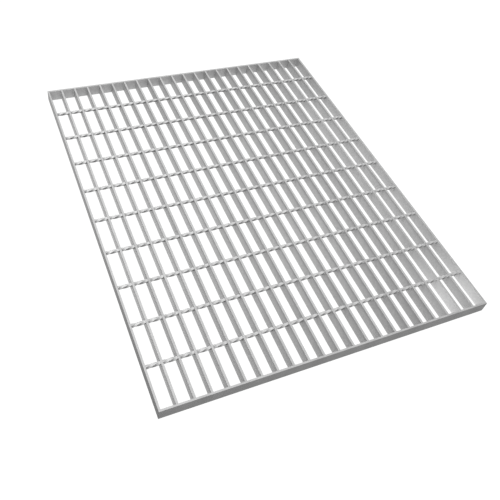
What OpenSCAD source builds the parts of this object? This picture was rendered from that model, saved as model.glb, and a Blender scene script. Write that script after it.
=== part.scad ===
// Welded steel bar grating panel: flat bearing bars on edge, twisted square cross rods
// let into their tops, and a flat end band closing the bar ends at each end.
// The panel lies flat on the XY plane, with its length along Y and its tread face at the top.

/* [Panel] */
// Length of the panel, along the bearing bars
panel_l = 1000; // [500:10:1500]
// Width of the panel, across the bearing bars
panel_w = 800; // [400:10:1000]
// Depth of the panel, which is the height of every flat bar in it
panel_h = 30; // [20:1:50]

/* [Bearing bars] */
// Thickness of a bearing bar
bar_t = 5; // [2:0.5:8]
// Number of bearing bars, with the two at the sides
bar_count = 23; // [12:1:28]

/* [Cross rods] */
// Distance from one cross rod to the next, centre to centre
rod_pitch = 100; // [60:5:150]
// Side of the square steel that the cross rods are twisted from
rod_side = 7; // [5:0.5:10]
// Length of rod in which the square turns once
rod_lead = 70.5; // [60:0.5:120]
// Depth of the rods' highest corners below the tops of the bars
rod_drop = 0.4; // [0.2:0.1:2]

/* [End bands] */
// Thickness of an end band
band_t = 5; // [2:0.5:8]

/* [Hidden] */

// Slices in one turn of a twisted rod
slices_per_turn = 8;

// Bearing bars fill the length between the bands, evenly spaced from side to side
bar_l = panel_l - 2 * band_t;
bar_pitch = (panel_w - bar_t) / (bar_count - 1);

// A rod ends inside the thickness of the side bars, and its corners sweep a round path
rod_l = panel_w - bar_t;
rod_reach = rod_side / sqrt(2);
rod_z = panel_h - rod_drop - rod_reach;
rod_turns = rod_l / rod_lead;
rod_slices = round(rod_turns * slices_per_turn);
rod_count = round(panel_l / rod_pitch) - 1;

// A flat bar standing on edge, centred on the origin in plan
module flat_bar(size_x, size_y) {
    translate([-size_x / 2, -size_y / 2, 0])
        cube([size_x, size_y, panel_h]);
}

module bearing_bars() {
    for (i = [0 : bar_count - 1])
        translate([(i - (bar_count - 1) / 2) * bar_pitch, 0, 0])
            flat_bar(bar_t, bar_l);
}

// One square rod lying along X, twisted about its own axis
module twisted_rod() {
    translate([-rod_l / 2, 0, 0])
        rotate([0, 90, 0])
            linear_extrude(height = rod_l, twist = 360 * rod_turns, slices = rod_slices, segments = 4)
                square(rod_side, center = true);
}

module cross_rods() {
    for (k = [0 : rod_count - 1])
        translate([0, (k - (rod_count - 1) / 2) * rod_pitch, rod_z])
            twisted_rod();
}

// Bearing bars and cross rods, welded into one grid at every crossing
module bar_grid() {
    color("silver")
        union() {
            bearing_bars();
            cross_rods();
        }
}

module end_band() {
    color("silver")
        flat_bar(panel_w, band_t);
}

module end_band_front() {
    translate([0, -(panel_l - band_t) / 2, 0])
        end_band();
}

module end_band_back() {
    translate([0, (panel_l - band_t) / 2, 0])
        end_band();
}

bar_grid();
end_band_front();
end_band_back();
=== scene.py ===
"""Looks for a welded steel bar grating panel: hot-dip galvanised bearing bars, twisted cross rods
and end bands."""

import math

import bmesh
import bpy
from mathutils import Matrix, Quaternion, Vector


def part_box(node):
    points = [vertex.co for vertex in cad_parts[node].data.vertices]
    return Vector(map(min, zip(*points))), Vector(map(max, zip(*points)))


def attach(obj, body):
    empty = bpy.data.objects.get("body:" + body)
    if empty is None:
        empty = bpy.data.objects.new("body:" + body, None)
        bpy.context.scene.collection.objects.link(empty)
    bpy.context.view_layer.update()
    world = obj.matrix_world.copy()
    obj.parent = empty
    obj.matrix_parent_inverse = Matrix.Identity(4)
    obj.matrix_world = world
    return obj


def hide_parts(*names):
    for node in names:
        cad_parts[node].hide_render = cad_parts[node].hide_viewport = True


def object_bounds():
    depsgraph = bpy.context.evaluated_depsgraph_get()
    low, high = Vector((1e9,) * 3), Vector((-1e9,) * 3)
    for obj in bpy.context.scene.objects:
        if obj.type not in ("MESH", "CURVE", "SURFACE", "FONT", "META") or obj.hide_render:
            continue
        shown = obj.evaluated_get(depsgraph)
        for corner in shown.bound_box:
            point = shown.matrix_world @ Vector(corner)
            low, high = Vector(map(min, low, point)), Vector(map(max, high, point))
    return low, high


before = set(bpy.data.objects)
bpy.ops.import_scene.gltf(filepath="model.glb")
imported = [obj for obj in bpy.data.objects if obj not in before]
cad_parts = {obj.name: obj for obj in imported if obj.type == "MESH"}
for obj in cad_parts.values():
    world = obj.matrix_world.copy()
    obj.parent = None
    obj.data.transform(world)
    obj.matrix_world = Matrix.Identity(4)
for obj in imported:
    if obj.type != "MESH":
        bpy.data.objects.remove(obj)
cad_low, cad_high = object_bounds()

MM = 0.001

# Sizes of the panel that the frame's boxes don't give, as the CAD model has them
BAR_THICKNESS = 5 * MM
BAR_COUNT = 23
ROD_PITCH = 100 * MM
ROD_SIDE = 7 * MM
ROD_LEAD = 70.5 * MM
ROD_DROP = 0.4 * MM

grid_low, grid_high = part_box("bar_grid")
PANEL_W = grid_high.x - grid_low.x
BAR_PITCH = (PANEL_W - BAR_THICKNESS) / (BAR_COUNT - 1)
ROD_REACH = ROD_SIDE / math.sqrt(2)
ROD_Z = grid_high.z - ROD_DROP - ROD_REACH
ROD_LENGTH = PANEL_W - BAR_THICKNESS
ROD_COUNT = round((cad_high.y - cad_low.y) / ROD_PITCH) - 1

# Rolled and sheared edges: the small roundings of hot-rolled flat bar and square rod
BAR_EDGE = 0.35 * MM
ROD_EDGE = 0.7 * MM

# Fineness of the twist
ROD_STEPS_PER_TURN = 20

# Faces of the rods that meet at a wider angle than this keep a crisp edge between them
CRISP_ANGLE = math.radians(32)

# Half sizes of the swelling round a crossing, across the bar, along it and upwards
WELD_SIZE = Vector((0.72 * BAR_THICKNESS, 0.95 * ROD_REACH, 0.85 * ROD_REACH))

# The painted light and shade and the other marks on the bars' faces start this far under the tread
# and this far in from the bars' ends
TREAD_DEPTH = 0.3 * MM
BAR_END_GAP = 0.2 * MM

# The faces keep their lightest grey this far each way from mid length
LIGHTEST_REACH = 150 * MM

# Where each painted highlight or shade begins and where it is full, measured in from the edge it
# belongs to
HIGHLIGHT_BARS = (145 * MM, 110 * MM)
HIGHLIGHT_LENGTH = (230 * MM, 40 * MM)
EDGE_SHADE_DEPTH = (10 * MM, 1 * MM)
OUTER_SHADE = (0.8 * MM, 0.3 * MM)

# The zinc's uneven tone keeps mostly between these
LOW_TONE, HIGH_TONE = 0.4, 1.0

# Sockets of a colour Mix node, by number because several of them share a name
MIX_SHARE, MIX_FROM, MIX_TO, MIX_RESULT = 0, 6, 7, 2


def bar_places():
    """X of each bearing bar's middle plane."""
    return [(i - (BAR_COUNT - 1) / 2) * BAR_PITCH for i in range(BAR_COUNT)]


def rod_places():
    """Y of each cross rod's axis."""
    return [(k - (ROD_COUNT - 1) / 2) * ROD_PITCH for k in range(ROD_COUNT)]


# ---------------------------------------------------------------- materials


def linear(hex_colour):
    """An sRGB hex colour as linear RGBA."""
    channels = [int(hex_colour[i:i + 2], 16) / 255 for i in (1, 3, 5)]
    return tuple(c / 12.92 if c <= 0.04045 else ((c + 0.055) / 1.055) ** 2.4
                 for c in channels) + (1.0,)


def add_node(tree, kind, settings=None, inputs=None, links=None):
    """Adds one shader node, with its settings, its sockets' values and the links into it."""
    node = tree.nodes.new(kind)
    for name, value in (settings or {}).items():
        setattr(node, name, value)
    for name, value in (inputs or {}).items():
        node.inputs[name].default_value = value
    for name, source in (links or {}).items():
        tree.links.new(source, node.inputs[name])
    return node


def new_material(name):
    """A node material that holds only its output node."""
    material = bpy.data.materials.new(name)
    material.use_nodes = True
    material.node_tree.nodes.clear()
    add_node(material.node_tree, "ShaderNodeOutputMaterial")
    return material, material.node_tree


def show(tree, surface):
    """Links a finished shader to the material's output."""
    output = next(node for node in tree.nodes if node.type == "OUTPUT_MATERIAL")
    tree.links.new(surface.outputs["BSDF"], output.inputs["Surface"])


def grey_ramp(tree, tone, dark, light):
    """A range of greys from dark to light, read by the zinc's uneven tone."""
    ramp = add_node(tree, "ShaderNodeValToRGB", links={"Fac": tone})
    for element, position, colour in zip(ramp.color_ramp.elements, (LOW_TONE, HIGH_TONE),
                                         (dark, light)):
        element.position = position
        element.color = linear(colour)
    return ramp.outputs["Color"]


def zinc_tone(tree, place):
    """The uneven tone of dipped zinc, and the bloom and grain in it, which its dullness and relief
    also use."""
    # One tone for each bar: it changes from bar to bar, and slowly along a bar and down its height
    along = add_node(tree, "ShaderNodeMapping",
                     inputs={"Scale": (1 / BAR_PITCH, 1 / (625 * MM), 1 / (250 * MM))},
                     links={"Vector": place})
    bar_tone = add_node(tree, "ShaderNodeTexNoise",
                        inputs={"Scale": 0.9, "Detail": 2.0, "Roughness": 0.4},
                        links={"Vector": along.outputs["Vector"]})

    # Zinc crystals, about 9 mm across
    crystal = add_node(tree, "ShaderNodeTexVoronoi",
                       inputs={"Scale": 1 / (9 * MM), "Randomness": 1.0}, links={"Vector": place})
    crystal_grey = add_node(tree, "ShaderNodeRGBToBW", links={"Color": crystal.outputs["Color"]})

    # Drag marks and dull bloom in the zinc, about 25 mm across
    bloom = add_node(tree, "ShaderNodeTexNoise",
                     inputs={"Scale": 1 / (25 * MM), "Detail": 4.0, "Roughness": 0.6},
                     links={"Vector": place})

    # Fine grain of the dull skin: really well under 1 mm, drawn at 4 mm so that it shows
    grain = add_node(tree, "ShaderNodeTexNoise",
                     inputs={"Scale": 1 / (4 * MM), "Detail": 3.0, "Roughness": 0.7},
                     links={"Vector": place})

    # Each of them adds its share to the tone
    tone = None
    for share, source in ((0.55, bar_tone.outputs["Fac"]), (0.12, crystal_grey.outputs["Val"]),
                          (0.2, bloom.outputs["Fac"]), (0.5, grain.outputs["Fac"])):
        step = add_node(tree, "ShaderNodeMath", {"operation": "MULTIPLY_ADD"},
                        {1: share, 2: 0.0}, {0: source})
        if tone:
            tree.links.new(tone, step.inputs[2])
        tone = step.outputs["Value"]
    return tone, bloom.outputs["Fac"], grain.outputs["Fac"]


def zinc_surface(tree, grey, bloom, grain):
    """The shader of dull zinc: half metal sheen and half matt, a little duller where it has
    bloomed."""
    dullness = add_node(tree, "ShaderNodeMapRange", inputs={"To Min": 0.5, "To Max": 0.65},
                        links={"Value": bloom})
    relief = add_node(tree, "ShaderNodeBump", inputs={"Strength": 0.1, "Distance": 0.1 * MM},
                      links={"Height": grain})
    surface = add_node(tree, "ShaderNodeBsdfPrincipled", inputs={"Metallic": 0.5},
                       links={"Base Color": grey, "Roughness": dullness.outputs["Result"],
                              "Normal": relief.outputs["Normal"]})
    show(tree, surface)


def grey_with_painted_face_light(tree, tone, from_middle, on_bars, below_tread):
    """The greys of the faces and the tread before the other marks: the bars' faces are lightest at
    mid length and darker towards the ends, and at mid length the faces are painted a touch lighter
    than the tread, as painted light on them."""
    towards_ends = add_node(tree, "ShaderNodeMapRange", {"interpolation_type": "SMOOTHSTEP"},
                            {"From Min": LIGHTEST_REACH, "From Max": cad_high.y},
                            {"Value": from_middle["Y"]})
    end_share = add_node(tree, "ShaderNodeMath", {"operation": "MULTIPLY"},
                       links={0: towards_ends.outputs["Result"], 1: on_bars})
    face_grey = add_node(tree, "ShaderNodeMix", {"data_type": "RGBA"},
                         links={MIX_SHARE: end_share.outputs["Value"],
                                MIX_FROM: grey_ramp(tree, tone, "#A4A4A4", "#C3C3C3"),
                                MIX_TO: grey_ramp(tree, tone, "#959595", "#B4B4B4")})
    # Painted light: at mid length the faces take lighter greys than the tread
    grey = add_node(tree, "ShaderNodeMix", {"data_type": "RGBA"},
                    links={MIX_SHARE: below_tread,
                           MIX_FROM: grey_ramp(tree, tone, "#9A9A9A", "#B9B9B9"),
                           MIX_TO: face_grey.outputs[MIX_RESULT]})
    return grey.outputs[MIX_RESULT]


def painted_corner_highlight(tree, split, bar_faces):
    """How much painted highlight goes on the faces of the last four bars at the right side: full on
    every other bar, and less on those between."""
    phase = add_node(tree, "ShaderNodeMath", {"operation": "MULTIPLY"}, {1: math.pi / BAR_PITCH},
                     {0: split.outputs["X"]})
    wave = add_node(tree, "ShaderNodeMath", {"operation": "COSINE"},
                    links={0: phase.outputs["Value"]})
    every_other = add_node(tree, "ShaderNodeMapRange",
                           inputs={"From Min": 0.6, "From Max": -0.6, "To Min": 0.3, "To Max": 1.0},
                           links={"Value": wave.outputs["Value"]})
    begin, full = (cad_high.x - inwards for inwards in HIGHLIGHT_BARS)
    last_four = add_node(tree, "ShaderNodeMapRange", {"interpolation_type": "SMOOTHSTEP"},
                         {"From Min": begin, "From Max": full}, {"Value": split.outputs["X"]})
    on_right = add_node(tree, "ShaderNodeMath", {"operation": "MULTIPLY"},
                        links={0: last_four.outputs["Result"], 1: every_other.outputs["Result"]})
    corner_highlight = add_node(tree, "ShaderNodeMath", {"operation": "MULTIPLY"},
                     links={0: on_right.outputs["Value"], 1: bar_faces})
    return corner_highlight.outputs["Value"]


def with_painted_edge_shade(tree, grey, split, bar_faces, corner_highlight):
    """Adds painted shade just under the top edges of the bars' faces: a darker line that fades
    downwards, and that the painted corner highlight and the end bands don't have."""
    begin, full = (cad_high.z - depth for depth in EDGE_SHADE_DEPTH)
    edge_shade_fade = add_node(tree, "ShaderNodeMapRange", inputs={"From Min": begin, "From Max": full},
                       links={"Value": split.outputs["Z"]})
    shade_share = add_node(tree, "ShaderNodeMath", {"operation": "MULTIPLY"},
                    links={0: edge_shade_fade.outputs["Result"], 1: bar_faces})
    no_highlight = add_node(tree, "ShaderNodeMath", {"operation": "SUBTRACT"}, {0: 1.0}, {1: corner_highlight})
    line = add_node(tree, "ShaderNodeMath", {"operation": "MULTIPLY"},
                    links={0: shade_share.outputs["Value"], 1: no_highlight.outputs["Value"]})
    # Painted shade: a darker grey line
    lined = add_node(tree, "ShaderNodeMix", {"data_type": "RGBA"}, {MIX_TO: linear("#969696")},
                     {MIX_SHARE: line.outputs["Value"], MIX_FROM: grey})
    return lined.outputs[MIX_RESULT]


def with_painted_corner_highlight(tree, grey, split, corner_highlight):
    """Paints a highlight on the faces of the last bars at the right side. It shows most at the
    front, and only faintly along the rest of those bars."""
    begin, full = (cad_low.y + inwards for inwards in HIGHLIGHT_LENGTH)
    towards_front = add_node(tree, "ShaderNodeMapRange", {"interpolation_type": "SMOOTHSTEP"},
                             {"From Min": begin, "From Max": full, "To Min": 0.12},
                             {"Value": split.outputs["Y"]})
    highlight_share = add_node(tree, "ShaderNodeMath", {"operation": "MULTIPLY"},
                       links={0: corner_highlight, 1: towards_front.outputs["Result"]})
    # Painted highlight: the faces turn light grey
    bright = add_node(tree, "ShaderNodeMix", {"data_type": "RGBA"}, {MIX_TO: linear("#D2D2D2")},
                      {MIX_SHARE: highlight_share.outputs["Value"], MIX_FROM: grey})
    return bright.outputs[MIX_RESULT]


def with_painted_outer_shade(tree, grey, tone, split, from_middle):
    """Paints shade on the outer faces of the side bars and end bands, darkening them: evenly on the
    ends and less and less towards the back on the sides."""
    begin, full = OUTER_SHADE
    side_shade, end_shade = (
        add_node(tree, "ShaderNodeMapRange",
                 inputs={"From Min": reach - begin, "From Max": reach - full, "To Max": darkness},
                 links={"Value": from_middle[axis]}).outputs["Result"]
        for axis, reach, darkness in (("X", cad_high.x, 1.0), ("Y", cad_high.y, 0.78)))
    fading = add_node(tree, "ShaderNodeMapRange",
                      inputs={"From Min": cad_high.y, "From Max": cad_low.y, "To Min": 0.5},
                      links={"Value": split.outputs["Y"]})
    side = add_node(tree, "ShaderNodeMath", {"operation": "MULTIPLY"},
                    links={0: side_shade, 1: fading.outputs["Result"]})
    outside = add_node(tree, "ShaderNodeMath", {"operation": "MAXIMUM"},
                       links={0: side.outputs["Value"], 1: end_shade})
    # Painted shade: the outer faces take a darker range of greys
    outer_shaded = add_node(tree, "ShaderNodeMix", {"data_type": "RGBA"},
                         links={MIX_SHARE: outside.outputs["Value"], MIX_FROM: grey,
                                MIX_TO: grey_ramp(tree, tone, "#525252", "#686868")})
    return outer_shaded.outputs[MIX_RESULT]


def galvanised_flat_bar():
    """Hot-dip galvanised mild steel flat bar with its dull skin: a neutral grey, part metal sheen
    and part matt, with faint crystals a few millimetres across, each bar a touch lighter or darker
    than the next as they cool apart. Painted on it are a highlight at the front right corner, shade
    under the bars' top edges and on the outer faces, and faces lighter than the tread."""
    material, tree = new_material("hot_dip_galvanised_flat_bar")
    place = add_node(tree, "ShaderNodeTexCoord").outputs["Object"]
    split = add_node(tree, "ShaderNodeSeparateXYZ", links={"Vector": place})
    tone, bloom, grain = zinc_tone(tree, place)

    # Where on the flat bars the zinc is
    from_middle = {axis: add_node(tree, "ShaderNodeMath", {"operation": "ABSOLUTE"},
                                  links={0: split.outputs[axis]}).outputs["Value"]
                   for axis in ("X", "Y")}
    on_bars = add_node(tree, "ShaderNodeMath", {"operation": "LESS_THAN"},
                       {1: grid_high.y - BAR_END_GAP}, {0: from_middle["Y"]}).outputs["Value"]
    below_tread = add_node(tree, "ShaderNodeMath", {"operation": "LESS_THAN"},
                           {1: cad_high.z - TREAD_DEPTH}, {0: split.outputs["Z"]}).outputs["Value"]
    bar_faces = add_node(tree, "ShaderNodeMath", {"operation": "MULTIPLY"},
                         links={0: on_bars, 1: below_tread}).outputs["Value"]

    # Painted light and shade on the bars: a corner highlight, shade under the top edges and on the
    # outer faces, and faces lighter than the tread
    corner_highlight = painted_corner_highlight(tree, split, bar_faces)
    grey = grey_with_painted_face_light(tree, tone, from_middle, on_bars, below_tread)
    grey = with_painted_edge_shade(tree, grey, split, bar_faces, corner_highlight)
    grey = with_painted_corner_highlight(tree, grey, split, corner_highlight)
    grey = with_painted_outer_shade(tree, grey, tone, split, from_middle)
    zinc_surface(tree, grey, bloom, grain)
    return material


def galvanised_twisted_rod():
    """Hot-dip galvanised twisted square steel, in greys a touch lighter than the bars' as painted
    light, with painted shade where a twisted face looks to the front or down, so that the rods show
    short dark notches."""
    material, tree = new_material("hot_dip_galvanised_twisted_rod")
    place = add_node(tree, "ShaderNodeTexCoord").outputs["Object"]
    tone, bloom, grain = zinc_tone(tree, place)
    # Painted shade goes on the rods' faces that look this way, to the front and down
    shade_way = (0.0, -0.8, -0.6)
    facing = add_node(tree, "ShaderNodeVectorMath", {"operation": "DOT_PRODUCT"}, {1: shade_way},
                      {0: add_node(tree, "ShaderNodeNewGeometry").outputs["Normal"]})
    shade_share = add_node(tree, "ShaderNodeMapRange", {"interpolation_type": "SMOOTHSTEP"},
                    {"From Min": 0.1, "From Max": 0.95}, {"Value": facing.outputs["Value"]})
    # The rods' greys sit a touch lighter than the bars': painted light
    grey = add_node(tree, "ShaderNodeMix", {"data_type": "RGBA"}, {MIX_TO: linear("#787878")},
                    {MIX_SHARE: shade_share.outputs["Result"],
                     MIX_FROM: grey_ramp(tree, tone, "#AAAAAA", "#C8C8C8")})
    zinc_surface(tree, grey.outputs[MIX_RESULT], bloom, grain)
    return material


def opal_light_table():
    """Opal glass lit from below, as under a cut-out: it glows white and reflects little, so shadows
    stay faint."""
    material, tree = new_material("opal_glass_light_table")
    surface = add_node(tree, "ShaderNodeBsdfPrincipled",
                       inputs={"Base Color": linear("#313131"), "Roughness": 0.9,
                               "Emission Color": linear("#FFFFFF"), "Emission Strength": 1.0})
    show(tree, surface)
    return material


# ---------------------------------------------------------------- pieces


def new_object(name, bm, material):
    """Turns a bmesh into an object of one material, at the origin."""
    mesh = bpy.data.meshes.new(name)
    bm.to_mesh(mesh)
    bm.free()
    mesh.materials.append(material)
    thing = bpy.data.objects.new(name, mesh)
    bpy.context.collection.objects.link(thing)
    return thing


def finished_piece(name, bm, material):
    """Turns a bmesh into a piece of the panel, riding on its only body."""
    bmesh.ops.recalc_face_normals(bm, faces=bm.faces)
    piece = new_object(name, bm, material)
    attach(piece, "root")
    return piece


def close_holes(bm):
    """Caps every open end of the mesh."""
    bmesh.ops.holes_fill(bm, edges=[edge for edge in bm.edges if edge.is_boundary], sides=0)


def add_flat_bar(bm, low, high):
    """A hot-rolled flat bar that fills the box from low to high, with its long edges slightly
    rounded."""
    low, high = Vector(low), Vector(high)
    place = Matrix.Translation((low + high) / 2) @ Matrix.Diagonal((*(high - low), 1.0))
    bar = bmesh.ops.create_cube(bm, size=1.0, matrix=place)
    edges = {edge for vert in bar["verts"] for edge in vert.link_edges}
    longest = max(edge.calc_length() for edge in edges)
    long_edges = [edge for edge in edges if edge.calc_length() > 0.99 * longest]
    bmesh.ops.bevel(bm, geom=long_edges, offset=BAR_EDGE, segments=2, profile=0.5,
                    affect="EDGES", material=-1)


def bearing_bars(material):
    """The flat bars on edge that carry the load, from one end band to the other."""
    bm = bmesh.new()
    for x in bar_places():
        add_flat_bar(bm, (x - BAR_THICKNESS / 2, grid_low.y, grid_low.z),
                     (x + BAR_THICKNESS / 2, grid_high.y, grid_high.z))
    piece = finished_piece("bearing_bars", bm, material)
    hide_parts("bar_grid")


def cross_rods(material):
    """Square rods twisted cold about their own axes and forged into the tops of the bars."""
    turns = ROD_LENGTH / ROD_LEAD
    steps = round(turns * ROD_STEPS_PER_TURN)
    bm = bmesh.new()
    for y in rod_places():
        start = Vector((-ROD_LENGTH / 2, y, ROD_Z))
        flat = bmesh.ops.create_grid(
            bm, x_segments=1, y_segments=1, size=ROD_SIDE / 2,
            matrix=Matrix.Translation(start) @ Matrix.Rotation(math.pi / 2, 4, "Y"))
        rounded = bmesh.ops.bevel(bm, geom=flat["verts"], offset=ROD_EDGE, segments=1, profile=0.5,
                                  affect="VERTICES", material=-1)
        section = list({face for vert in rounded["verts"] for face in vert.link_faces})
        bmesh.ops.spin(bm, geom=section, cent=start, axis=(1, 0, 0),
                       dvec=(ROD_LENGTH / steps, 0, 0), angle=-2 * math.pi * turns, steps=steps,
                       use_merge=False, use_duplicate=False)
        close_holes(bm)

    # Smooth along the twist, crisp along the rod's corners and at its ends
    for face in bm.faces:
        face.smooth = True
    for edge in bm.edges:
        edge.smooth = edge.calc_face_angle(math.pi) < CRISP_ANGLE
    piece = finished_piece("cross_rods", bm, material)
    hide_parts("bar_grid")


def forge_welds(material):
    """The low swelling of squeezed metal where a rod is forged into a bar, on both sides of every
    crossing."""
    bm = bmesh.new()
    for x in bar_places():
        for y in rod_places():
            place = Matrix.Translation((x, y, ROD_Z)) @ Matrix.Diagonal((*WELD_SIZE, 1.0))
            bmesh.ops.create_icosphere(bm, subdivisions=1, radius=1.0, matrix=place)

    # The side bars have the swelling on their inner faces only: it is cut off just inside their
    # outer ones
    inside = grid_high.x - BAR_THICKNESS / 8
    for side in (-1, 1):
        bmesh.ops.bisect_plane(bm, geom=bm.verts[:] + bm.edges[:] + bm.faces[:],
                               plane_co=(side * inside, 0, 0), plane_no=(side, 0, 0),
                               clear_outer=True)
        close_holes(bm)
    piece = finished_piece("forge_welds", bm, material)
    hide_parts("bar_grid")


def end_bands(material):
    """The flat bars that close the bar ends, one at each end of the panel."""
    for node in ("end_band_front", "end_band_back"):
        low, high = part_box(node)
        bm = bmesh.new()
        add_flat_bar(bm, low, high)
        piece = finished_piece(node + "_bar", bm, material)
        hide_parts(node)


# ---------------------------------------------------------------- studio


def studio_floor(material):
    """A wide pale floor, a hair under the bars so that the two never share a plane."""
    reach = 40.0
    gap = 0.2 * MM
    bm = bmesh.new()
    bmesh.ops.create_grid(bm, x_segments=1, y_segments=1, size=reach,
                          matrix=Matrix.Translation((0, 0, cad_low.z - gap)))
    floor = new_object("studio_floor", bm, material)


def softbox(name, place, width, height, power):
    """A rectangular soft light at place, turned to face the middle of the panel."""
    data = bpy.data.lights.new(name, "AREA")
    data.shape = "RECTANGLE"
    data.size = width
    data.size_y = height
    data.energy = power
    light = bpy.data.objects.new(name, data)
    light.location = place
    light.rotation_mode = "QUATERNION"
    light.rotation_quaternion = (-Vector(place)).to_track_quat("-Z", "Y")
    bpy.context.collection.objects.link(light)


def studio_light():
    """Even light from a white surround, with softboxes high on the left, in front and behind."""
    softbox("left_softbox", place=(-1.6, 0.7, 2.6), width=1.8, height=1.8, power=38)
    softbox("front_softbox", place=(-0.7, -0.9, 3.0), width=1.2, height=1.2, power=36)
    softbox("back_softbox", place=(0.6, 1.9, 2.2), width=2.4, height=1.6, power=18)
    world = bpy.data.worlds.new("studio_surround")
    world.use_nodes = True
    background = world.node_tree.nodes["Background"]
    background.inputs["Color"].default_value = linear("#FFFFFF")
    background.inputs["Strength"].default_value = 0.75
    bpy.context.scene.world = world


def studio_camera():
    """A camera up and to the front left of the panel, looking down near its middle and leaning a
    little."""
    place = Vector((-0.591, -0.959, 1.145))
    aim = Vector((-0.068, -0.112, 0.030))
    lean = Quaternion((0, 0, 1), math.radians(11.65))
    data = bpy.data.cameras.new("studio_camera")
    data.sensor_width = 36.0
    data.lens = 44.35
    data.shift_x = 0.02
    data.shift_y = -0.05
    data.clip_start = 0.01
    camera = bpy.data.objects.new("studio_camera", data)
    camera.location = place
    camera.rotation_mode = "QUATERNION"
    camera.rotation_quaternion = (aim - place).to_track_quat("-Z", "Y") @ lean
    bpy.context.collection.objects.link(camera)
    bpy.context.scene.camera = camera


studio_camera()
studio_floor(opal_light_table())
studio_light()
bpy.context.scene.view_settings.view_transform = "Standard"

bar_zinc = galvanised_flat_bar()
rod_zinc = galvanised_twisted_rod()
bearing_bars(bar_zinc)
cross_rods(rod_zinc)
forge_welds(bar_zinc)
end_bands(bar_zinc)
